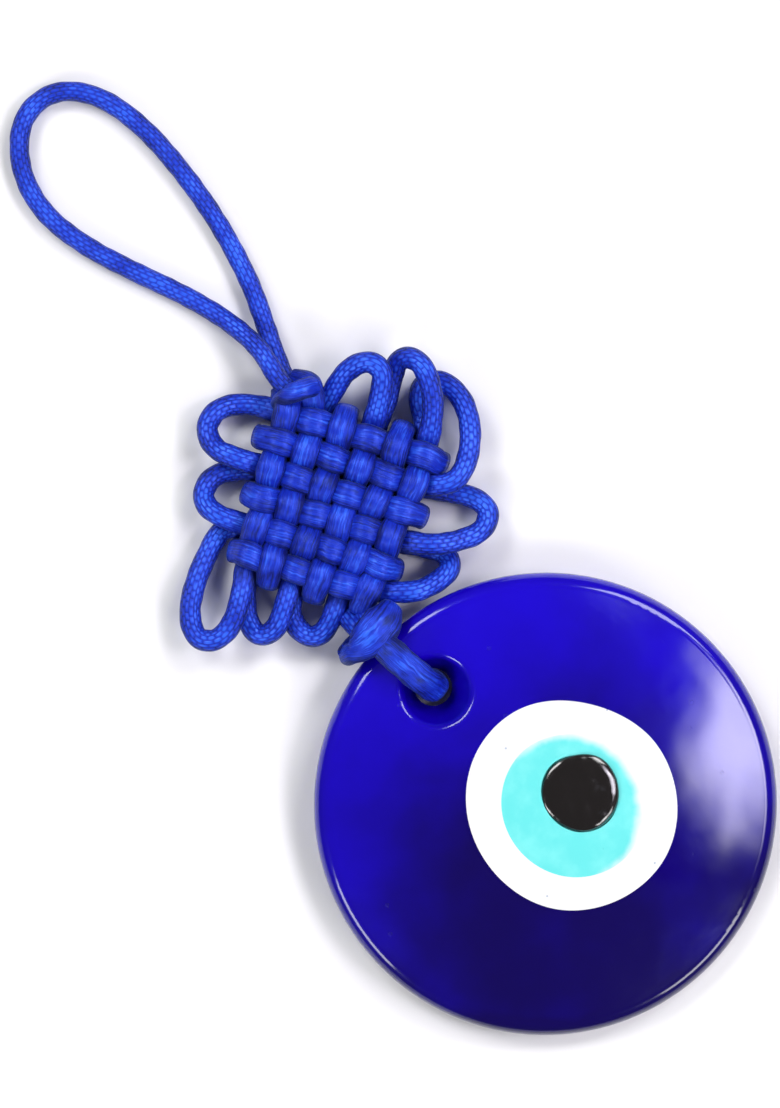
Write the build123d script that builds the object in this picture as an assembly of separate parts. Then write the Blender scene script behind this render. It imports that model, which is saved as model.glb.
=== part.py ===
from build123d import *
from math import asin, cos, degrees, pi, radians, sin, tan
import os

# Evil eye ornament: a glass eye disc hung from an endless knot of satin cord.
# Frame: the origin is the centre of the glass disc's flat back. +Y runs from there through the
# disc's hole towards the hanging loop, +X to the right and +Z out of the disc's face.
# The ornament lies on a table. Heights named "above the table" are turned into Z by onTable().

os.makedirs("parts", exist_ok=True)

# glass disc, all in mm
discRadius = 30.0
discThickness = 7.6           # at the middle of the domed face
rimHeight = 3.9               # where the dome meets the rounded rim
backFlatRadius = discRadius - 1.7
rimRounding = 1.9             # how far the dome's edge stands inside the rim
holeRadius = 3.75             # at the front; the hole tapers towards the back
holeBackRadius = holeRadius - 1.55
holeOffset = discRadius - 9    # disc centre to hole centre
holeLip = 1.1                 # rounding of the hole's front edge
holeBackLip = 0.5

# eye layers: each sits in a pocket of the one below
whiteCentre = (2.1, -1.8)
whiteRadii = (13.6, 13.4, 14.1, 13.9, 13.2, 12.9, 13.3, 13.6, 14.0, 13.8)
irisCentre = (2.5, -2.0)
irisRadii = (9.4, 9.2, 9.6, 9.3, 9.0, 9.2, 9.5, 9.3)
pupilCentre = (4.2, -1.4)
pupilRadii = (5.1, 4.9, 5.2, 5.0, 4.8, 5.0, 5.2, 5.0)
whiteDepth = 2.6              # from the dome's crown down to the pocket floor
irisDepth = 2.0
pupilDepth = 1.5
pupilProud = 0.3
pupilRounding = 0.9

# satin cord
cordDiameter = 2.5
strandWidth = 2.9             # the same cord pressed flat inside the knot
strandThickness = 1.8
layerPitch = strandThickness + 0.1   # one pressed strand and a little air
clearance = 0.3

# woven body of the knot
# rows run from the upper left to the lower right, columns from the upper right to the lower left
strands = 6
firstRowFrom = (10.8, 59.5)   # the first row's outermost crossings
firstRowTo = (19.8, 43.2)
lastRowFrom = (-5.3, 49.7)
lastRowTo = (2.5, 35.6)
endReach = 0.78               # a strand ends this many pitches outside the outermost crossing
columnFoldReach = 0.12        # column folds are tucked in between the rows' two layers

# knots tied in the doubled cord, and the two hinge lines
upperKnotAt = (13.5, 63.8)
upperKnotRadius = 1.8
upperKnotLength = 5.2
lowerKnotAt = (-0.9, 31.65)
lowerKnotHeight = 6.0
lowerKnotRadius = 1.6
lowerKnotLength = 7.2

# the back leg of the cord passes under the disc and tips it
tiltSine = (cordDiameter + clearance) / (backFlatRadius + holeOffset + holeBackRadius)
discTilt = degrees(asin(tiltSine))
discLift = backFlatRadius * tiltSine
knotMiddle = 1.5 * layerPitch + strandThickness / 2   # above the table
rowRise = 1.5 * layerPitch
columnRise = 0.5 * layerPitch


knotShift = discRadius - 30.0  # places on the cord are set out for a 30 mm disc and move with its rim


def onTable(x, y, height):
    """A point on the cord, given by its height above the table."""
    return Vector(x, y + knotShift, height - discLift)


def save(shape, name):
    shape.label = name
    export_step(shape, f"parts/{name}.step")


# ---------------------------------------------------------------- cord

def cornerRadii(points):
    """The largest arc that each corner's two runs leave room for."""
    radii = []
    for before, corner, after in zip(points, points[1:], points[2:]):
        arriving, leaving = corner - before, after - corner
        turn = radians(arriving.get_angle(leaving))
        radii.append(0.45 * min(arriving.length, leaving.length) / tan(turn / 2))
    return radii


def cordAlong(points, name, diameter=cordDiameter):
    """A round cord on straight runs joined by tangent arcs."""
    radii = cornerRadii(points)
    path = FilletPolyline(*points, radius=radii)
    start = Plane(origin=path @ 0, z_dir=path % 0)
    tube = sweep(start * Circle(diameter / 2), path=path, transition=Transition.RIGHT)
    expected = pi * (diameter / 2) ** 2 * path.length
    print(f"{name}: length {path.length:.1f}, volume ratio {tube.volume / expected:.3f}, radii",
          [round(radius, 1) for radius in radii])
    return tube


def across(angle):
    return Vector(cos(radians(angle)), sin(radians(angle)), 0)


firstEdge = 1 - endReach
lastEdge = strands + endReach


def crossing(row, column, height=0.0):
    """Where a row and a column cross. Whole numbers are strands, fractions lie between them."""
    along = (column - 1) / (strands - 1)
    down = (row - 1) / (strands - 1)
    first = Vector(*firstRowFrom) * (1 - along) + Vector(*firstRowTo) * along
    last = Vector(*lastRowFrom) * (1 - along) + Vector(*lastRowTo) * along
    place = first * (1 - down) + last * down
    return onTable(place.X, place.Y, height)


def hairpin(openEnd, foldEnd, rise, name):
    """One strand of the weave: out in the front layer, round the fold and home in the back."""
    up = Vector(0, 0, rise)
    run = (foldEnd - openEnd).normalized()
    path = FilletPolyline(openEnd + up, foldEnd + up, foldEnd - up, openEnd - up,
                          radius=min(rise, 1.6) * 0.98)
    section = Plane(origin=openEnd + up, z_dir=run, x_dir=run.cross(Vector(0, 0, 1)))
    rounding = strandThickness / 2 - 0.05
    profile = section * RectangleRounded(strandWidth, strandThickness, rounding)
    save(sweep(profile, path=path), name)


def tiedKnot(at, height, radius, length):
    """A wrap of cord lying across the doubled cord: round about its hinge line."""
    middle = onTable(at[0], at[1], height)
    barrel = Cylinder(radius, length, rotation=(0, 90, 0))
    barrel = fillet(barrel.edges().filter_by(GeomType.CIRCLE), radius * 0.6)
    return Location(middle) * barrel


# ---------------------------------------------------------------- glass

discPlace = Location((0, 0, 0), (discTilt, 0, 0))


def outline(centre, radii):
    """A closed hand-poured outline through radii that are evenly spaced round a centre."""
    count = len(radii)
    points = []
    for index, radius in enumerate(radii):
        direction = across(360 * index / count) * radius
        points.append((centre[0] + direction.X, centre[1] + direction.Y))
    return make_face(Spline(*points, periodic=True))


def discSolid():
    """The full domed disc, before its hole and pockets."""
    crown, shoulder = discThickness, rimHeight
    edge = discRadius - rimRounding
    profile = make_face([
        Line((0, 0), (backFlatRadius, 0)),
        ThreePointArc((backFlatRadius, 0), (discRadius - 0.45, 0.62), (discRadius, 1.9)),
        ThreePointArc((discRadius, 1.9), (discRadius - 0.52, shoulder - 0.72), (edge, shoulder)),
        ThreePointArc((edge, shoulder), (edge / 2, shoulder + 0.76 * (crown - shoulder)), (0, crown)),
        Line((0, crown), (0, 0)),
    ])
    return revolve(Plane.XZ * profile, Axis.Z)


def pocket(face, depth):
    """A straight-sided space from depth below the crown to well above it."""
    floor = discThickness - depth
    return Pos(0, 0, floor) * extrude(face, amount=discThickness)


def makeGlass():
    body = discSolid()
    taper = (holeRadius - holeBackRadius) / rimHeight
    below, above = 1.0, 2 * discThickness
    hole = Cone(holeBackRadius - below * taper, holeBackRadius + above * taper, below + above,
                align=(Align.CENTER, Align.CENTER, Align.MIN))
    body -= Pos(0, holeOffset, -below) * hole
    aroundHole = [edge for edge in body.edges()
                  if (edge.center() - Vector(0, holeOffset, edge.center().Z)).length < holeRadius + 1
                  and edge.geom_type != GeomType.LINE]
    body = fillet([edge for edge in aroundHole if edge.center().Z > rimHeight / 2], holeLip)
    backEdges = [edge for edge in body.edges().filter_by(GeomType.CIRCLE)
                 if edge.center().Z < 0.1 and edge.radius < holeRadius]
    body = fillet(backEdges, holeBackLip)

    whiteSpace = pocket(outline(whiteCentre, whiteRadii), whiteDepth)
    irisSpace = pocket(outline(irisCentre, irisRadii), irisDepth)
    pupilSpace = pocket(outline(pupilCentre, pupilRadii), pupilDepth)
    full = discSolid()
    white = (full & whiteSpace) - irisSpace
    iris = (full & irisSpace) - pupilSpace
    pupil = extrude(outline(pupilCentre, pupilRadii), amount=pupilDepth + pupilProud)
    pupil = fillet(pupil.edges().group_by(Axis.Z)[-1], pupilRounding)
    pupil = Pos(0, 0, discThickness - pupilDepth) * pupil
    save(discPlace * (body - whiteSpace), "glass_disc")
    save(discPlace * white, "white_eye")
    save(discPlace * iris, "turquoise_iris")
    save(discPlace * pupil, "black_pupil")


# ---------------------------------------------------------------- knot body

def makeWeave():
    for strand in range(1, strands + 1):
        odd = strand % 2 == 1
        # odd rows open to the upper left, even rows to the lower right
        openColumn, foldColumn = (firstEdge, lastEdge) if odd else (lastEdge, firstEdge)
        hairpin(crossing(strand, openColumn, knotMiddle), crossing(strand, foldColumn, knotMiddle),
                rowRise, f"row_{strand}")
        # odd columns open to the lower left, even columns to the upper right
        foldRow = 1 - columnFoldReach if odd else strands + columnFoldReach
        openRow = lastEdge if odd else firstEdge
        hairpin(crossing(openRow, strand, knotMiddle), crossing(foldRow, strand, knotMiddle),
                columnRise, f"column_{strand}")


# Each ear joins one strand's end in the back layer to the next one's end in the front layer:
# where it starts and ends, then its points between.
ears = {
    "upper_left_ear_1": (("row", 1), ("row", 3),
                         [(8.2, 64.1, 1.6), (5.0, 66.4, 2.3), (1.9, 65.6, 3.2), (0.9, 62.7, 4.3),
                          (2.0, 60.2, 5.6)]),
    "upper_left_ear_2": (("row", 3), ("row", 5),
                         [(0.9, 59.2, 1.6), (-2.0, 60.6, 2.2), (-4.8, 59.3, 3.2), (-4.9, 56.4, 4.6)]),
    "left_corner_ear": (("row", 5), ("column", 1),
                        [(-5.2, 54.8, 1.5), (-8.4, 53.9, 2.0), (-12.6, 52.2, 2.8), (-16.4, 49.6, 3.4),
                         (-17.9, 46.4, 4.0), (-15.6, 44.3, 4.6), (-11.6, 45.2, 5.0)]),
    "lower_left_ear_1": (("column", 1), ("column", 3),
                         [(-9.6, 46.2, 2.0), (-11.4, 43.9, 1.9), (-11.9, 41.3, 2.4), (-9.8, 40.3, 3.4),
                          (-7.2, 41.4, 4.6)]),
    "lower_left_ear_2": (("column", 3), ("column", 5),
                         [(-6.3, 41.2, 1.9), (-7.6, 38.7, 2.0), (-6.9, 36.1, 2.8), (-4.3, 35.8, 4.0)]),
    "upper_right_ear_2": (("column", 2), ("column", 4),
                          [(17.0, 57.4, 3.4), (20.0, 58.2, 5.4), (23.0, 57.4, 7.0), (23.8, 54.9, 7.4),
                           (21.4, 52.9, 6.6)]),
    "upper_right_ear_1": (("column", 4), ("column", 6),
                          [(20.8, 51.4, 2.5), (23.4, 53.2, 3.6), (26.4, 54.8, 5.2), (28.0, 52.6, 7.0),
                           (26.8, 49.2, 7.4), (24.4, 46.2, 6.4)]),
    "right_corner_ear": (("column", 6), ("row", 2),
                         [(23.0, 46.2, 2.0), (24.2, 49.0, 1.9), (26.6, 50.4, 2.1), (28.7, 48.2, 2.5),
                          (28.5, 44.6, 3.0), (26.4, 41.2, 3.8), (23.0, 38.6, 4.9), (19.8, 38.0, 5.8)]),
    "lower_right_ear_2": (("row", 2), ("row", 4),
                          [(19.2, 37.4, 1.5), (20.9, 35.0, 1.9), (21.2, 32.2, 2.6), (18.6, 30.9, 3.4),
                           (15.4, 32.3, 4.4), (12.6, 34.2, 5.7)]),
    "lower_right_ear_1": (("row", 4), ("row", 6),
                          [(12.0, 34.4, 1.4), (13.3, 32.2, 2.0), (12.3, 30.2, 3.0), (9.4, 30.4, 4.2),
                           (6.4, 31.6, 5.6)]),
}
earRise = {"row": knotMiddle - cordDiameter / 2, "column": cordDiameter / 2 + 0.05}


def strandEnd(kind, strand, side):
    """The open end of a row or column, in the back (side -1) or the front (side 1) layer."""
    odd = strand % 2 == 1
    height = knotMiddle + side * earRise[kind]
    if kind == "row":
        return crossing(strand, firstEdge if odd else lastEdge, height)
    return crossing(lastEdge if odd else firstEdge, strand, height)


def makeEars():
    for name, (first, last, between) in ears.items():
        points = [strandEnd(*first, -1), *[onTable(*point) for point in between],
                  strandEnd(*last, 1)]
        save(cordAlong(points, name), name)


# ---------------------------------------------------------------- cord above and below the body

hangingLoopRoute = [
    (12.2, 66.0, 3.8), (12.6, 69.8, 3.0), (13.2, 74.2, 1.8), (11.9, 79.8, 1.25), (9.4, 86.5, 1.25),
    (7.0, 93.5, 1.25), (6.0, 100.5, 1.25), (7.9, 106.8, 1.25), (12.6, 111.3, 1.25),
    (18.2, 111.0, 1.25), (22.0, 106.4, 1.25), (23.3, 99.4, 1.25), (22.9, 91.6, 1.25),
    (21.5, 83.6, 1.25), (19.2, 76.2, 1.5), (16.6, 70.4, 2.6), (14.9, 66.0, 3.8),
]
discLoopRoute = [
    (-0.9, 31.5, 6.6), (-0.9, 29.1, 9.2), (-0.8, 26.0, 10.0), (-0.6, 22.9, 9.0), (-0.4, 21.8, 6.2),
    (-0.4, 21.5, 3.4), (-0.5, 22.4, 1.4), (-0.7, 25.0, 1.25), (-0.8, 28.2, 1.3), (-0.9, 31.1, 1.7),
    (-0.9, 31.7, 4.6),
]
# the two cords between the woven body and the lower knot
neckRoutes = [((0.9, 36.6, 3.8), (0.4, 33.9, 5.6)), ((-1.5, 36.6, 4.2), (-1.6, 33.9, 5.8))]
neckDiameter = 2.2


def makeNeck():
    cords = []
    for start, end in neckRoutes:
        run = onTable(*end) - onTable(*start)
        place = Plane(origin=onTable(*start), z_dir=run)
        cords.append(extrude(place * Circle(neckDiameter / 2), amount=run.length))
    save(Compound(cords), "neck")


def makeLoops():
    save(cordAlong([onTable(*point) for point in hangingLoopRoute], "hanging_loop"), "hanging_loop")
    save(cordAlong([onTable(*point) for point in discLoopRoute], "disc_loop"), "disc_loop")
    save(tiedKnot(upperKnotAt, knotMiddle, upperKnotRadius, upperKnotLength), "upper_knot")
    save(tiedKnot(lowerKnotAt, lowerKnotHeight, lowerKnotRadius, lowerKnotLength), "lower_knot")


makeGlass()
makeWeave()
makeEars()
makeNeck()
makeLoops()
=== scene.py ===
import bpy
import math
import numpy as np
from mathutils import Matrix, Vector


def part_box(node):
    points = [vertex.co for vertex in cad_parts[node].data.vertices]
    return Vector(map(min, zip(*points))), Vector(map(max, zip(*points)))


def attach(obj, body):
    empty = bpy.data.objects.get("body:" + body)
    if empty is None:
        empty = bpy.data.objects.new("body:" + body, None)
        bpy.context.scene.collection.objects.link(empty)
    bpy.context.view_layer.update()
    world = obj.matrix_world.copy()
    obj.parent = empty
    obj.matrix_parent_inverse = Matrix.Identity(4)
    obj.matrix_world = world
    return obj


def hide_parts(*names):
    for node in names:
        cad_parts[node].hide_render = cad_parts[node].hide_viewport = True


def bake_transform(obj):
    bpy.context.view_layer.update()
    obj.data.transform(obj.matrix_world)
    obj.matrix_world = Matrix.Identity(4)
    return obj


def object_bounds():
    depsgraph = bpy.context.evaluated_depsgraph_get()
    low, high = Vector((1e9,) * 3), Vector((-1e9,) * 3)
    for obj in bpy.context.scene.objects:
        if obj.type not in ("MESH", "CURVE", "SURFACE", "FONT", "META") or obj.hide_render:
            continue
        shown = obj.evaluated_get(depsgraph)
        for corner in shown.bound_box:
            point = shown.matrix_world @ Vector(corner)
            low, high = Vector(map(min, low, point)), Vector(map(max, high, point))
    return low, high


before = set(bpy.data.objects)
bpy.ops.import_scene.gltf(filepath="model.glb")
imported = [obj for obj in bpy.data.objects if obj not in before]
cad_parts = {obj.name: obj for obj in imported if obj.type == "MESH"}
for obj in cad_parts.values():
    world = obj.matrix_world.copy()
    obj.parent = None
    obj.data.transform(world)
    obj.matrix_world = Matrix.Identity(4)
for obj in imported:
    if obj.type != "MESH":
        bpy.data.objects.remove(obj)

cadLow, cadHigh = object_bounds()
tableZ = cadLow.z * 1000
scene = bpy.context.scene
scene.view_settings.view_transform = "Standard"
print("frame loaded")

# Lengths are mm, with heights above the table, until toFrame() turns them into the frame.


def toFrame(points):
    return (np.array(points, float).reshape(-1, 3) + (0, 0, tableZ)) * 0.001


def link(obj):
    scene.collection.objects.link(obj)
    return obj


# camera
cameraView = {
    "aim": (7.9, 37.2, 0.0),
    "right": (0.721, -0.693, 0.0),
    "up": (0.693, 0.721, 0.0),
    "distance": 0.62,
    "tall": 0.1441,
}


def makeCamera():
    data = bpy.data.cameras.new("camera")
    camera = link(bpy.data.objects.new("camera", data))
    data.sensor_width = 36
    data.lens = 36 * cameraView["distance"] / cameraView["tall"]
    data.clip_start, data.clip_end = 0.01, 10
    right, up = Vector(cameraView["right"]).normalized(), Vector(cameraView["up"]).normalized()
    turn = Matrix((right, up, right.cross(up))).transposed().to_4x4()
    place = Vector(toFrame([cameraView["aim"]])[0]) + Vector((0, 0, cameraView["distance"]))
    camera.matrix_world = Matrix.Translation(place) @ turn
    scene.camera = camera


makeCamera()
print("camera made")

# cord routes
cordSizes = {
    "diameter": 2.5,
    "loopLength": 112.0,
    "around": 36,             # corners in a ring
    "loopAround": 40,
    "step": 0.0003,           # between rings, in metres
    "square": 2.4,            # 2 is an oval, more is squarer
    "steep": 0.75,            # a steeper cord isn't turned level
    "levelPull": 0.35,
    # height, rate along, turns round, start
    "lumps": ((0.018, 1700, 2, 0), (0.014, 2900, -3, 1.3)),
    "hangingWide": 2.55,
    "hangingThick": 2.45,
    "discWide": [3.7, 3.9, 3.9, 3.9, 4.1, 3.9, 2.8, 2.5, 2.5, 2.5, 2.5],
    "discThick": [2.2, 2.3, 2.3, 2.7, 3.6, 3.7, 2.3, 2.3, 2.3, 2.3, 2.3],
    "hangingLoop": [
        (13.4, 60.4, 5.0), (12.9, 62.6, 5.4), (13.6, 65.4, 5.1), (14.2, 68.6, 3.9),
        (13.7, 73.6, 2.0), (12.1, 79.6, 1.25),
        (9.4, 86.5, 1.25), (7.0, 93.5, 1.25), (6.0, 100.5, 1.25), (7.9, 106.8, 1.25),
        (12.6, 111.3, 1.25), (18.2, 111.0, 1.25), (22.0, 106.4, 1.25), (23.3, 99.4, 1.25),
        (22.9, 91.6, 1.25), (21.7, 83.6, 1.25), (19.3, 75.2, 1.3), (17.0, 70.2, 1.5),
        (15.1, 66.2, 2.0), (13.8, 62.9, 2.5), (13.6, 60.4, 2.6),
    ],
    "loopBend": ((13.5, 62.6, 3.75), (13.5, 65.2, 3.75)),
    "discLoop": [
        (-0.9, 31.2, 7.4), (-0.8, 29.1, 9.4), (-0.6, 26.0, 10.2), (-0.3, 22.9, 9.2),
        (0.1, 21.3, 6.4), (0.1, 20.9, 3.9), (-0.2, 22.2, 1.4), (-0.7, 25.0, 1.25),
        (-0.8, 28.2, 1.3), (-0.9, 30.6, 1.6), (-0.9, 31.3, 3.6),
    ],
}


# Points along a smooth line held by a route, in order.
def nurbsLine(points):
    data = bpy.data.curves.new("route", "CURVE")
    data.dimensions = "3D"
    spline = data.splines.new("NURBS")
    spline.points.add(len(points) - 1)
    for knot, point in zip(spline.points, toFrame(points)):
        knot.co = (*point, 1)
    spline.order_u = 3
    spline.use_endpoint_u = True
    spline.resolution_u = 24
    obj = link(bpy.data.objects.new("route", data))
    bpy.context.view_layer.update()
    mesh = bpy.data.meshes.new_from_object(obj)
    line = np.array([vertex.co for vertex in mesh.vertices], float)
    bpy.data.objects.remove(obj)
    bpy.data.meshes.remove(mesh)
    bpy.data.curves.remove(data)
    return line


# The same line at equal steps, with the sizes carried along it.
def evenly(line, step, *carried):
    run = np.concatenate([[0], np.cumsum(np.linalg.norm(np.diff(line, axis=0), axis=1))])
    at = np.linspace(0, run[-1], max(4, round(run[-1] / step)) + 1)
    spread = [np.interp(at, run, values) for values in carried]
    return at, np.column_stack([np.interp(at, run, line[:, i]) for i in range(3)]), spread


# Across the cord, level with the table wherever the cord itself is.
def wideAxes(line):
    tangents = np.gradient(line, axis=0)
    tangents /= np.linalg.norm(tangents, axis=1)[:, None]
    axes, before = [], None
    for tangent in tangents:
        level = np.cross((0, 0, 1), tangent)
        if before is None:
            before = level if np.linalg.norm(level) > 0.1 else np.array((1.0, 0, 0))
        axis = before - tangent * np.dot(before, tangent)
        if abs(tangent[2]) < cordSizes["steep"]:
            level = level / np.linalg.norm(level)
            axis = axis + cordSizes["levelPull"] * (level if np.dot(level, axis) > 0 else -level)
        before = axis / np.linalg.norm(axis)
        axes.append(before)
    return tangents, np.array(axes)


# An oval cord swept along a line, with its length and its turn as its map.
def cordMesh(name, run, line, tangents, axes, wides, thicks, pressed, around=cordSizes["around"]):
    ups = np.cross(tangents, axes)
    turn = np.linspace(0, 2 * math.pi, around, endpoint=False)
    power = 2 / cordSizes["square"]
    across = np.sign(np.cos(turn)) * np.abs(np.cos(turn)) ** power
    over = np.sign(np.sin(turn)) * np.abs(np.sin(turn)) ** power
    lumps = sum(height * np.sin(run[:, None] * rate + turns * turn[None] + start)
                for height, rate, turns, start in cordSizes["lumps"])
    scale = (1 + lumps)[..., None]
    rings = line[:, None] + scale * (axes[:, None] * (across[None] * wides[:, None] / 2)[..., None] +
                                     ups[:, None] * (over[None] * thicks[:, None] / 2)[..., None])
    count = len(line)
    faces, maps = [], []
    for i in range(count - 1):
        for j in range(around):
            k = (j + 1) % around
            here, after = i * around, (i + 1) * around
            faces.append((here + j, here + k, after + k, after + j))
            maps += [(run[i] * 1000, j / around), (run[i] * 1000, (j + 1) / around),
                     (run[i + 1] * 1000, (j + 1) / around), (run[i + 1] * 1000, j / around)]
    corners = rings.reshape(-1, 3).tolist()
    flatness = np.repeat(pressed, around).tolist()
    for end, order in ((0, -1), (count - 1, 1)):
        first = len(corners)
        corners += rings[end].tolist() + [line[end].tolist()]
        flatness += [pressed[end]] * (around + 1)
        for j in range(around):
            faces.append((*(first + j, first + (j + 1) % around)[::order], first + around))
            maps += [(run[end] * 1000, j / around)] * 3
    mesh = bpy.data.meshes.new(name)
    mesh.from_pydata(corners, [], faces)
    mesh.attributes.new("pressed", "FLOAT", "POINT").data.foreach_set("value", flatness)
    layer = mesh.uv_layers.new(name="cordMap")
    layer.data.foreach_set("uv", np.array(maps, np.float32).ravel())
    mesh.polygons.foreach_set("use_smooth", [True] * len(mesh.polygons))
    mesh.update()
    return link(bpy.data.objects.new(name, mesh))


# A cord on a route, wide and thick being one size or one per route point.
def tube(name, points, wide, thick, pressed, **more):
    line = nurbsLine(points)
    along = np.linspace(0, 1, len(line))
    held = np.linspace(0, 1, len(points))
    sizes = [np.interp(along, held, np.broadcast_to(size, len(points))) * 0.001
             for size in (wide, thick)]
    run, line, (wides, thicks) = evenly(line, cordSizes["step"], *sizes)
    tangents, axes = wideAxes(line)
    flat = np.full(len(line), float(pressed))
    return cordMesh(name, run, line, tangents, axes, wides, thicks, flat, **more), line


hangingCord, hangingLine = tube("hanging_cord", cordSizes["hangingLoop"], cordSizes["hangingWide"],
                                cordSizes["hangingThick"], 0, around=cordSizes["loopAround"])
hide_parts("hanging_loop")
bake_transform(hangingCord)
hangingLine[::4].tolist() + [hangingLine[-1].tolist()]

discCord, _ = tube("disc_cord", cordSizes["discLoop"], cordSizes["discWide"],
                   cordSizes["discThick"], 1, around=cordSizes["loopAround"])
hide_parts("disc_loop")
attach(discCord, "disc_loop")
print("loops made")

# woven body
weave = {
    "firstRow": ((10.8, 59.5), (19.8, 43.2)),
    "lastRow": ((-5.3, 49.7), (2.5, 35.6)),
    "middle": 3.75,
    "layerOff": 1.9,
    "swellFront": 1.3,
    "swellBack": 0.9,
    "fold": 0.2,
    "foldDrop": 0.7,
    "wander": 0.2,            # how far a crossing strays from the even grid
    "stray": 0.12,
    "step": 0.00032,
    "smoothing": 7,           # rings over which the pressed shape turns into the round one
    "wide": 3.3,
    "thick": 2.0,
    "puff": 0.55,             # thicker where it rides over, thinner where it dips under
    "puffWide": 0.3,
    "puffReach": 0.95,
    "puffBehind": 0.3,
    "earWide": 2.8,
    "earThick": 2.4,
}
ears = {
    "upper_left_ear_1": [(8.2, 64.1, 1.6), (5.0, 66.4, 2.3), (1.9, 65.6, 3.2), (0.9, 62.7, 4.3),
                         (2.0, 60.2, 5.6)],
    "upper_left_ear_2": [(0.9, 59.2, 1.6), (-2.0, 60.6, 2.2), (-4.8, 59.3, 3.2), (-4.9, 56.4, 4.6)],
    "left_corner_ear": [(-5.2, 54.8, 1.5), (-8.4, 53.9, 2.0), (-12.6, 52.2, 2.8),
                        (-16.4, 49.6, 3.4), (-17.9, 46.4, 4.0), (-15.6, 44.3, 4.6),
                        (-11.6, 45.2, 5.0)],
    "lower_left_ear_1": [(-9.6, 46.2, 2.0), (-11.4, 43.9, 1.9), (-11.9, 41.3, 2.4),
                         (-9.8, 40.3, 3.4), (-7.2, 41.4, 4.6)],
    "lower_left_ear_2": [(-6.3, 41.2, 1.9), (-7.6, 38.7, 2.0), (-6.9, 36.1, 2.8), (-4.3, 35.8, 4.0)],
    "upper_right_ear_2": [(17.0, 57.4, 3.4), (20.0, 58.2, 5.4), (23.0, 57.4, 7.0),
                          (23.8, 54.9, 7.4), (21.4, 52.9, 6.6)],
    "upper_right_ear_1": [(20.8, 51.4, 2.5), (23.4, 53.2, 3.6), (26.4, 54.8, 5.2),
                          (28.0, 52.6, 7.0), (26.8, 49.2, 7.4), (24.4, 46.2, 6.4)],
    "right_corner_ear": [(23.0, 46.2, 2.0), (24.2, 49.0, 1.9), (26.6, 50.4, 2.1), (28.7, 48.2, 2.5),
                         (28.5, 44.6, 3.0), (26.4, 41.2, 3.8), (23.0, 38.6, 4.9), (19.8, 38.0, 5.8)],
    "lower_right_ear_2": [(19.2, 37.4, 1.5), (20.9, 35.0, 1.9), (21.2, 32.2, 2.6), (18.6, 30.9, 3.4),
                          (15.4, 32.3, 4.4), (12.6, 34.2, 5.7)],
    "lower_right_ear_1": [(12.0, 34.4, 1.4), (13.3, 32.2, 2.0), (12.3, 30.2, 3.0), (9.4, 30.4, 4.2),
                          (6.4, 31.6, 5.6)],
}
# the order the two halves of the cord run in, and where each meets the two tied turns
halves = {
    "first": (["row_1", "upper_left_ear_1", "row_3", "upper_left_ear_2", "row_5",
               "left_corner_ear", "column_1", "lower_left_ear_1", "column_3",
               "lower_left_ear_2", "column_5"],
              [(12.6, 62.2, 4.6), (11.9, 61.2, 5.4)], [(-1.5, 36.4, 2.6), (-1.8, 34.0, 4.6),
                                                       (-1.8, 32.0, 6.0)]),
    "second": (["column_2", "upper_right_ear_2", "column_4", "upper_right_ear_1", "column_6",
                "right_corner_ear", "row_2", "lower_right_ear_2", "row_4", "lower_right_ear_1",
                "row_6"],
               [(14.4, 62.0, 4.6), (15.4, 60.8, 5.6), (15.4, 59.6, 6.4)],
               [(0.9, 36.2, 2.8), (0.3, 34.0, 4.8), (0.1, 32.0, 6.2)]),
}


def crossing(row, column, height):
    along, down = (column - 1) / 5, (row - 1) / 5
    first, last = [np.array(start) * (1 - along) + np.array(end) * along
                   for start, end in (weave["firstRow"], weave["lastRow"])]
    place = first * (1 - down) + last * down
    stray = np.array((math.sin(row * 5.1 + column * 3.7), math.sin(row * 2.3 + column * 6.1 + 1)))
    lift = weave["stray"] * math.sin(row * 4.3 + column * 7.9)
    return (*(place + weave["wander"] * stray), height + lift)


# One strand: across the front over and under the others, round the fold, back behind.
def strandPoints(name):
    kind, number = name.split("_")
    number = int(number)
    upwards = number % 2 == (1 if kind == "row" else 0)
    order = [1, 2, 3, 4, 5, 6] if upwards else [6, 5, 4, 3, 2, 1]
    step = 0.5 if upwards else -0.5
    points = []
    for side, places in ((1, order), (-1, order[::-1])):
        middle = weave["middle"] + side * weave["layerOff"]
        move = step * side
        for index, other in enumerate(places):
            row, column = (number, other) if kind == "row" else (other, number)
            onTop = (row + column) % 2 == (1 if kind == "row" else 0)
            swell = side * weave["swellFront" if side == 1 else "swellBack"]
            swell = swell if onTop else -swell
            points.append(crossing(row, column, middle + swell))
            if index < 5:
                between = other + move
                row, column = (number, between) if kind == "row" else (between, number)
                points.append(crossing(row, column, middle))
        if side == 1:
            below, drop = weave["middle"] - weave["layerOff"], weave["foldDrop"]
            for reach, height in ((0.5, middle), (0.5 + weave["fold"], middle - drop),
                                  (0.5 + weave["fold"], below + drop), (0.5, below)):
                outer = order[-1] + 2 * step * reach
                row, column = (number, outer) if kind == "row" else (outer, number)
                points.append(crossing(row, column, height))
    return points


def softened(values, reach):
    kernel = np.hanning(2 * reach + 3)[1:-1]
    padded = np.pad(values, reach, mode="edge")
    return np.convolve(padded, kernel / kernel.sum(), mode="valid")


cordPieces = {}


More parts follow.
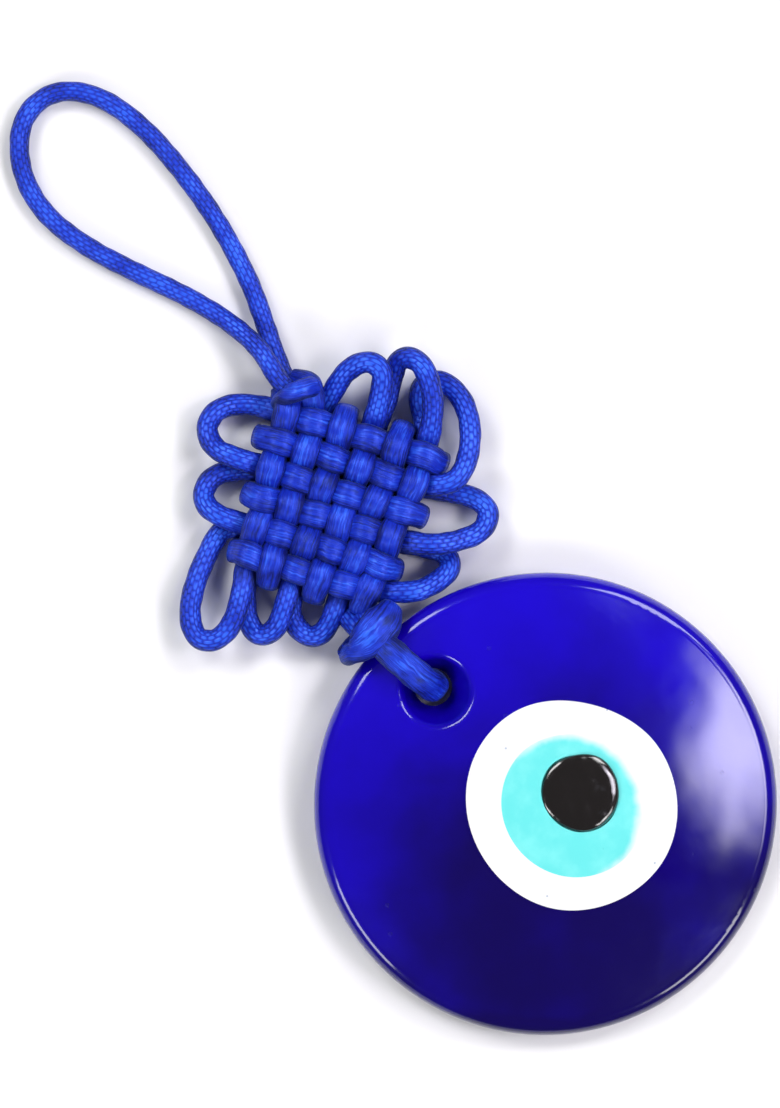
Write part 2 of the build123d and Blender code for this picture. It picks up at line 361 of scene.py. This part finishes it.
def makeHalf(order, arriving, leaving):
    points, owners = list(arriving), [order[0]] * len(arriving)
    for name in order:
        own = ears[name] if name in ears else strandPoints(name)
        points += own
        owners += [name] * len(own)
    points += leaving
    owners += ["neck"] * len(leaving)
    names = [*order, "neck"]
    line = nurbsLine(points)
    # each held point but the first and last has one equal share of the line
    shares = np.minimum(np.linspace(0, len(points) - 2, len(line)).astype(int), len(points) - 3)
    owned = np.array([names.index(owner) for owner in owners])[1 + shares]
    run, line, (ownedAlong,) = evenly(line, weave["step"], owned.astype(float))
    owned = np.round(ownedAlong).astype(int)
    body = np.array([0.0 if names[i] in ears or names[i] == "neck" else 1.0 for i in owned])
    body = softened(body, weave["smoothing"])
    tangents, axes = wideAxes(line)
    height = line[:, 2] * 1000 - tableZ - weave["middle"]
    puff = np.clip((np.abs(height) - weave["layerOff"]) / weave["puffReach"], -1, 1)
    puff = puff * np.where(height > 0, 1, weave["puffBehind"])
    wides, thicks = [(weave[ear] + (weave[flat] - weave[ear] + weave[swelling] * puff) * body) * 0.001
                     for ear, flat, swelling in (("earWide", "wide", "puffWide"),
                                                 ("earThick", "thick", "puff"))]
    for index, name in enumerate(names):
        at = np.nonzero(owned == index)[0]
        at = np.arange(at[0], min(at[-1] + 2, len(line)))
        own = "cord_" + name + ("_2" if "cord_" + name in cordPieces else "")
        obj = cordMesh(own, run[at], line[at], tangents[at], axes[at], wides[at], thicks[at], body[at])
        cordPieces[obj.name] = obj
        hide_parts(name)


for order, arriving, leaving in halves.values():
    makeHalf(order, arriving, leaving)
print("woven body made")

# the two tied turns
wraps = {
    "upper": [(11.4, 61.4, 3.4), (11.6, 61.4, 6.2), (13.0, 60.9, 8.0), (15.0, 60.0, 8.0),
              (16.2, 59.4, 5.6), (15.9, 60.6, 2.6), (13.8, 61.6, 1.0), (11.9, 61.8, 1.5),
              (11.4, 61.4, 3.4)],
    "lower": [(-4.9, 31.7, 5.4), (-4.8, 31.4, 7.9), (-2.2, 31.2, 9.4), (0.8, 31.4, 9.4),
              (3.1, 32.0, 7.6), (2.9, 32.3, 5.2), (1.0, 32.1, 4.0), (-2.4, 32.0, 3.9),
              (-4.7, 31.9, 4.4), (-4.9, 31.7, 5.4)],
    "upperWide": 2.7,
    "upperThick": 1.9,
    "lowerWide": [2.8, 3.6, 5.2, 5.2, 3.4, 2.4, 2.2, 2.2, 2.6, 2.8],
    "lowerThick": 2.1,
    "neckBend": ((-0.5, 36.4, 4.0), (-0.5, 33.2, 6.0)),
}
upperWrap, _ = tube("upper_wrap", wraps["upper"], wraps["upperWide"], wraps["upperThick"], 1)
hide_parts("upper_knot")
lowerWrap, _ = tube("lower_wrap", wraps["lower"], wraps["lowerWide"], wraps["lowerThick"], 1)
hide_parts("lower_knot")
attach(lowerWrap, "disc_loop")
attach(upperWrap, "knot")
for name, obj in cordPieces.items():
    if "neck" in name:
        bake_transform(obj)
    else:
        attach(obj, "knot")
print("wraps made")


# A shader value that works in Python expressions.
class Wire:
    def __init__(self, tree, socket):
        self.tree, self.socket = tree, socket

    def math(self, operation, *others, swapped=False):
        node = self.tree.nodes.new("ShaderNodeMath")
        node.operation = operation
        values = [*others, self] if swapped else [self, *others]
        for socket, value in zip(node.inputs, values):
            feed(self.tree, socket, value)
        return Wire(self.tree, node.outputs[0])

    def __add__(self, other):
        return self.math("ADD", other)

    def __sub__(self, other):
        return self.math("SUBTRACT", other)

    def __rsub__(self, other):
        return self.math("SUBTRACT", other, swapped=True)

    def __mul__(self, other):
        return self.math("MULTIPLY", other)

    def __truediv__(self, other):
        return self.math("DIVIDE", other)

    def __rtruediv__(self, other):
        return self.math("DIVIDE", other, swapped=True)

    def __pow__(self, other):
        return self.math("POWER", other)

    def __rpow__(self, other):
        return self.math("POWER", other, swapped=True)

    __radd__ = __add__
    __rmul__ = __mul__

    # 0 below low, 1 above high and smooth in between.
    def between(self, low, high):
        node = self.tree.nodes.new("ShaderNodeMapRange")
        node.interpolation_type = "SMOOTHSTEP"
        for key, value in (("Value", self), ("From Min", low), ("From Max", high)):
            feed(self.tree, node.inputs[key], value)
        return Wire(self.tree, node.outputs[0])


def feed(tree, socket, value):
    if isinstance(value, Wire):
        tree.links.new(value.socket, socket)
    else:
        socket.default_value = value


# One material and the nodes it's made from.
class Finish:
    def __init__(self, name, **constants):
        self.material = bpy.data.materials.new(name)
        self.material.use_nodes = True
        self.tree = self.material.node_tree
        self.shader = next(n for n in self.tree.nodes if n.type == "BSDF_PRINCIPLED")
        for key, value in constants.items():
            self.shader.inputs[key.replace("_", " ")].default_value = value

    def node(self, kind, settings=None, values=None, output=0):
        node = self.tree.nodes.new("ShaderNode" + kind)
        for key, value in (settings or {}).items():
            setattr(node, key, value)
        for key, value in (values or {}).items():
            feed(self.tree, node.inputs[key], value)
        return Wire(self.tree, node.outputs[output])

    def split(self, vector):
        node = self.tree.nodes.new("ShaderNodeSeparateXYZ")
        feed(self.tree, node.inputs[0], vector)
        return [Wire(self.tree, output) for output in node.outputs]

    def place(self):
        return self.node("TexCoord", output="Object")

    def noise(self, scale, detail=2.0, vector=None):
        return self.node("TexNoise", {}, {"Vector": vector or self.place(), "Scale": scale,
                                          "Detail": detail}, output="Fac")

    # first where factor is 0, second where it is 1; both are colours.
    def mix(self, factor, first, second):
        node = self.tree.nodes.new("ShaderNodeMix")
        node.data_type = "RGBA"
        feed(self.tree, node.inputs[0], factor)
        feed(self.tree, node.inputs[6], first)
        feed(self.tree, node.inputs[7], second)
        return Wire(self.tree, node.outputs[2])

    def put(self, key, value):
        feed(self.tree, self.shader.inputs[key], value)

    def relief(self, height, distance, strength=1.0):
        self.put("Normal", self.node("Bump", {}, {"Height": height, "Distance": distance,
                                                  "Strength": strength}, output="Normal"))


satinLook = {
    # bright, middle and deep are the cord's one blue as painted highlight, half light and painted
    # shade
    "bright": (0.038, 0.155, 1.0, 1),
    "middle": (0.008, 0.028, 0.56, 1),
    "deep": (0.0025, 0.002, 0.12, 1),
    "knits": 18,
    "knitLength": 1.15,
    "threads": 52,
    "reliefDepth": 0.00012,
}


# Braided satin: short staggered stitches on the round cord, drawn-out threads where pressed.
def satinFinish():
    finish = Finish("satin_cord", Metallic=0.15, Sheen_Weight=0.2, Sheen_Roughness=0.35)
    finish.shader.inputs["Specular IOR Level"].default_value = 0.6
    finish.shader.inputs["Specular Tint"].default_value = (0.45, 0.7, 1, 1)
    finish.shader.inputs["Sheen Tint"].default_value = (0.2, 0.4, 1, 1)
    along, around, _ = finish.split(finish.node("UVMap", {"uv_map": "cordMap"}))
    wander = finish.noise(700, 1.0)
    column = around * satinLook["knits"] + along * 0.04
    index = column.math("FLOOR")
    stitch = (along / satinLook["knitLength"] + index * 0.5 + wander * 0.5).math("FRACT")
    ridge = 1 - (((column - index) * 2 - 1).math("ABSOLUTE")) ** 2.0
    loaf = 1 - ((stitch * 2 - 1).math("ABSOLUTE")) ** 2.0
    streak = finish.noise(1.0, 3.0, finish.node("CombineXYZ", {}, {
        "X": along * 0.4, "Y": around * satinLook["threads"] + wander * 1.6,
        "Z": along * 0.02}))
    # top paints the cord lighter on its top and darker down its sides: painted highlight and painted
    # shade
    top = ((around * 2 * math.pi).math("SINE")).math("ABSOLUTE") ** 0.8
    stitches = (ridge * loaf) ** 0.6
    pressed = finish.node("Attribute", {"attribute_name": "pressed"}, output="Fac")
    height = stitches * (0.75 - pressed * 0.6) + \
        streak.between(0.25, 0.75) * (0.25 + pressed * 0.45)
    patch = finish.noise(230, 2.0)
    # the cord's colour: lighter on stitch crowns and raised threads and darker in the gaps between
    # them (painted sheen and painted shade), plus the painted top light and side shade, plus random
    # patches of real tone
    tone_and_painted_light = (height * 0.6 + top * 0.55 + patch * 0.8 - 0.72).between(0.0, 1.0)
    finish.put("Base Color", finish.mix(tone_and_painted_light.between(0.5, 1), finish.mix(
        tone_and_painted_light.between(0, 0.5), satinLook["deep"], satinLook["middle"]), satinLook["bright"]))
    finish.put("Roughness", 0.48 - tone_and_painted_light * 0.16)
    finish.relief(height, satinLook["reliefDepth"], 0.8)
    return finish.material


satin = satinFinish()
for obj in [*cordPieces.values(), hangingCord, discCord, upperWrap, lowerWrap]:
    obj.data.materials.append(satin)
print("cord finished")

glassLook = {
    # deep and lit: the cobalt darker where it is thick and brighter where it is thin; lit also carries
    # painted light
    "deep": (0.004, 0.0, 0.085, 1),
    "lit": (0.010, 0.0, 0.58, 1),
    "white": (0.90, 0.90, 0.91, 1),
    "turquoise": (0.15, 0.80, 0.78, 1),
    "paleTurquoise": (0.21, 0.86, 0.83, 1),
    "black": (0.010, 0.008, 0.008, 1),
    "discRadius": 0.030,
    "irisCentre": (0.0025, -0.0020),
    "irisRadius": 0.0093,
    "cobaltDepth": 0.0012,    # bump heights, in metres
    "poolDepth": 0.0006,
}


# Small round marks: 1 inside them.
def pits(finish, scale, size):
    spots = finish.node("TexVoronoi", {}, {"Vector": finish.place(), "Scale": scale},
                        output="Distance")
    rare = finish.noise(scale * 0.31, 0.0).between(0.56, 0.6)
    return (1 - spots.between(size * 0.6, size)) * rare


def cobaltFinish():
    finish = Finish("cobalt_glass", Coat_Weight=0.9, Coat_Roughness=0.09)
    finish.shader.inputs["Specular IOR Level"].default_value = 0.1
    x, y, _ = finish.split(finish.place())
    out = (x * x + y * y) ** 0.5 / glassLook["discRadius"]
    upward = (x * 0.693 + y * 0.721) / glassLook["discRadius"]
    leftward = (x * -0.721 + y * 0.693) / glassLook["discRadius"]
    cloud = finish.noise(70, 3.0)
    # the blue is brighter where the glass thins towards the rim and in random clouds, its own tone;
    # brighter towards the top and the left, which is painted light; and a little darker at the very
    # rim
    lit = (out - 0.35) * 0.55 + upward * 0.42 + leftward * 0.16 + (cloud - 0.5) * 0.8 + 0.12
    edge = out.between(0.9, 1.0)
    spots = pits(finish, 260, 0.1)
    finish.put("Base Color", finish.mix(lit.between(-0.1, 1.0) - edge * 0.15,
                                        glassLook["deep"], glassLook["lit"]))
    finish.put("Roughness", 0.2 + spots * 0.5)
    waves = finish.noise(55, 2.0) + finish.noise(300, 2.0) * 0.12 - spots * 0.2
    finish.relief(waves, glassLook["cobaltDepth"], 0.5)
    return finish.material


def whiteFinish():
    finish = Finish("white_glass", Roughness=0.22, Coat_Weight=0.8, Coat_Roughness=0.06)
    cloud = finish.noise(240, 3.0)
    spots = pits(finish, 420, 0.07)
    finish.put("Base Color", finish.mix(spots * 0.7 + cloud.between(0.62, 0.9) * 0.12,
                                        glassLook["white"], (0.35, 0.45, 0.6, 1)))
    finish.relief(finish.noise(120, 2.0) - spots * 0.3, glassLook["poolDepth"], 0.5)
    return finish.material


def turquoiseFinish():
    finish = Finish("turquoise_glass", Roughness=0.22, Coat_Weight=0.8, Coat_Roughness=0.06)
    x, y, _ = finish.split(finish.place())
    x, y = x - glassLook["irisCentre"][0], y - glassLook["irisCentre"][1]
    out = (x * x + y * y) ** 0.5 / glassLook["irisRadius"]
    rightward = (x * 0.9 + y * 0.1) / glassLook["irisRadius"]
    cloud = finish.noise(330, 3.0)
    fade = (out + rightward * 0.16 + (cloud - 0.5) * 0.16).between(0.92, 1.1)
    spots = pits(finish, 420, 0.07)
    tint = finish.mix(cloud.between(0.35, 0.75), glassLook["turquoise"], glassLook["paleTurquoise"])
    finish.put("Base Color", finish.mix(fade, tint, glassLook["white"]))
    finish.relief(finish.noise(150, 2.0) - spots * 0.3, glassLook["poolDepth"], 0.5)
    return finish.material


def blackFinish():
    finish = Finish("black_glass", Roughness=0.15, Coat_Weight=1.0, Coat_Roughness=0.04)
    cloud = finish.noise(500, 3.0)
    finish.put("Base Color", finish.mix(cloud.between(0.6, 0.8), glassLook["black"],
                                        (0.03, 0.03, 0.035, 1)))
    finish.relief(finish.noise(330, 1.0) + pits(finish, 600, 0.2) * 0.3, glassLook["poolDepth"], 0.6)
    return finish.material


for node, make in (("glass_disc", cobaltFinish), ("white_eye", whiteFinish),
                   ("turquoise_iris", turquoiseFinish)):
    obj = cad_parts[node]
    obj.data.materials.clear()
    obj.data.materials.append(make())
print("glass finished")

# the pupil, a drop of black glass that set a little uneven
pupil = {
    "node": "black_pupil",
    "rings": 26,
    "around": 96,
    "rise": 0.4,
    "lump": 0.045,
    "tilt": 0.0544,
}


def makePupil():
    low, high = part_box(pupil["node"])
    middle, radius = (low + high) / 2, (high.x - low.x) / 2
    top = high.z - (high.y - low.y) / 2 * pupil["tilt"] + 0.00012
    corners, faces = [(middle.x, middle.y, top)], []
    for i in range(1, pupil["rings"] + 1):
        share = i / pupil["rings"]
        for j in range(pupil["around"]):
            turn = 2 * math.pi * j / pupil["around"]
            out = radius * share * (1 + 0.018 * math.sin(3 * turn + 1) + 0.012 * math.sin(5 * turn))
            x, y = out * math.cos(turn), out * math.sin(turn)
            lump = math.sin(x * 1500 + 1) * math.sin(y * 1300 + 2) + \
                0.6 * math.sin(x * 2900 + y * 1100) * math.sin(y * 2500 - 1)
            drop = pupil["rise"] * share ** 9 - pupil["lump"] * lump * (1 - share ** 4)
            corners.append((middle.x + x, middle.y + y, top + y * pupil["tilt"] - drop / 1000))
    count = pupil["around"]
    for j in range(count):
        faces.append((0, 1 + j, 1 + (j + 1) % count))
        for i in range(pupil["rings"] - 1):
            k = 1 + i * count
            faces.append((k + j, k + count + j, k + count + (j + 1) % count, k + (j + 1) % count))
    under = len(corners)
    corners.append((middle.x, middle.y, low.z))
    edge = 1 + (pupil["rings"] - 1) * count
    faces += [(edge + (j + 1) % count, edge + j, under) for j in range(count)]
    mesh = bpy.data.meshes.new("pupil")
    mesh.from_pydata(corners, [], faces)
    mesh.polygons.foreach_set("use_smooth", [True] * len(mesh.polygons))
    mesh.materials.append(blackFinish())
    obj = link(bpy.data.objects.new("pupil", mesh))
    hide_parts(pupil["node"])
    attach(obj, "disc")


makePupil()
print("pupil made")

# table and light
studio = {
    "floorSize": 3.0,
    "world": 0.10,
    "ring": 4.2,
    "ringShares": (1.25, 1.25, 1.2, 1.2),
    "ringSize": (0.5, 0.35),
    "ringHeight": 0.8,
    "ringRadii": (0.74, 0.74, 1.05, 1.15),
    "softboxSize": (0.5, 0.8),
    "softboxPlace": (0.60, 0.05, 0.8),
    "softbox": 16.0,
}


def makeFloor():
    half = studio["floorSize"] / 2
    z = tableZ / 1000 - 0.00002
    mesh = bpy.data.meshes.new("floor")
    mesh.from_pydata([(-half, -half, z), (half, -half, z), (half, half, z), (-half, half, z)], [],
                     [(0, 1, 2, 3)])
    floor = link(bpy.data.objects.new("floor", mesh))
    finish = Finish("floor", Roughness=0.9)
    finish.put("Base Color", finish.mix(finish.noise(8, 2.0), (0.90, 0.90, 0.905, 1),
                                        (0.93, 0.93, 0.93, 1)))
    mesh.materials.append(finish.material)


def areaLight(name, place, target, size, energy):
    data = bpy.data.lights.new(name, "AREA")
    data.shape = "RECTANGLE"
    data.size, data.size_y = size
    data.energy = energy
    light = link(bpy.data.objects.new(name, data))
    light.location = place
    light.rotation_mode = "QUATERNION"
    light.rotation_quaternion = (Vector(target) - Vector(place)).to_track_quat("-Z", "Y")


# A diffuser that glows in the middle and fades towards its edges.
def makeSoftbox(place, target, up):
    facing = (Vector(target) - Vector(place)).normalized()
    side = facing.cross(up).normalized()
    upright = side.cross(facing)
    mesh = bpy.data.meshes.new("softbox")
    mesh.from_pydata([(-0.5, -0.5, 0), (0.5, -0.5, 0), (0.5, 0.5, 0), (-0.5, 0.5, 0)], [],
                     [(0, 1, 2, 3)])
    box = link(bpy.data.objects.new("softbox", mesh))
    turn = Matrix((side, upright, side.cross(upright))).transposed().to_4x4()
    wide, tall = studio["softboxSize"]
    box.matrix_world = Matrix.Translation(place) @ turn @ Matrix.Diagonal((wide, tall, 1, 1))
    finish = Finish("softbox", Roughness=1.0, Emission_Strength=studio["softbox"])
    finish.shader.inputs["Specular IOR Level"].default_value = 0
    x, y, _ = finish.split(finish.place())
    out = ((x * x + y * y) ** 0.5) * 2
    cloud = finish.noise(4.5, 3.0)
    glow = (1 - (out + (cloud - 0.5) * 1.1).between(0.2, 0.8)) * (0.5 + cloud)
    finish.put("Base Color", finish.mix(cloud, (0, 0, 0, 1), (0.01, 0.01, 0.01, 1)))
    finish.put("Emission Color", finish.mix(glow, (0, 0, 0, 1), (0.93, 0.88, 1, 1)))
    mesh.materials.append(finish.material)


def makeLight():
    world = bpy.data.worlds.new("studio")
    world.use_nodes = True
    background = next(n for n in world.node_tree.nodes if n.type == "BACKGROUND")
    background.inputs[0].default_value = (1, 1, 1, 1)
    background.inputs[1].default_value = studio["world"]
    scene.world = world
    middle = Vector(toFrame([cameraView["aim"]])[0])
    right, up = Vector(cameraView["right"]), Vector(cameraView["up"])
    for index in range(4):
        turn = math.radians(45 + 90 * index)
        off = (right * math.cos(turn) + up * math.sin(turn)) * studio["ringRadii"][index]
        areaLight(f"ring_{index}", middle + off + Vector((0, 0, studio["ringHeight"])), middle,
                  studio["ringSize"], studio["ring"] * studio["ringShares"][index])
    disc = Vector((0, 0, 0.006))
    toRight, toUp, height = studio["softboxPlace"]
    makeSoftbox(disc + right * toRight + up * toUp + Vector((0, 0, height)), disc, up)


makeFloor()
makeLight()
print("studio made")
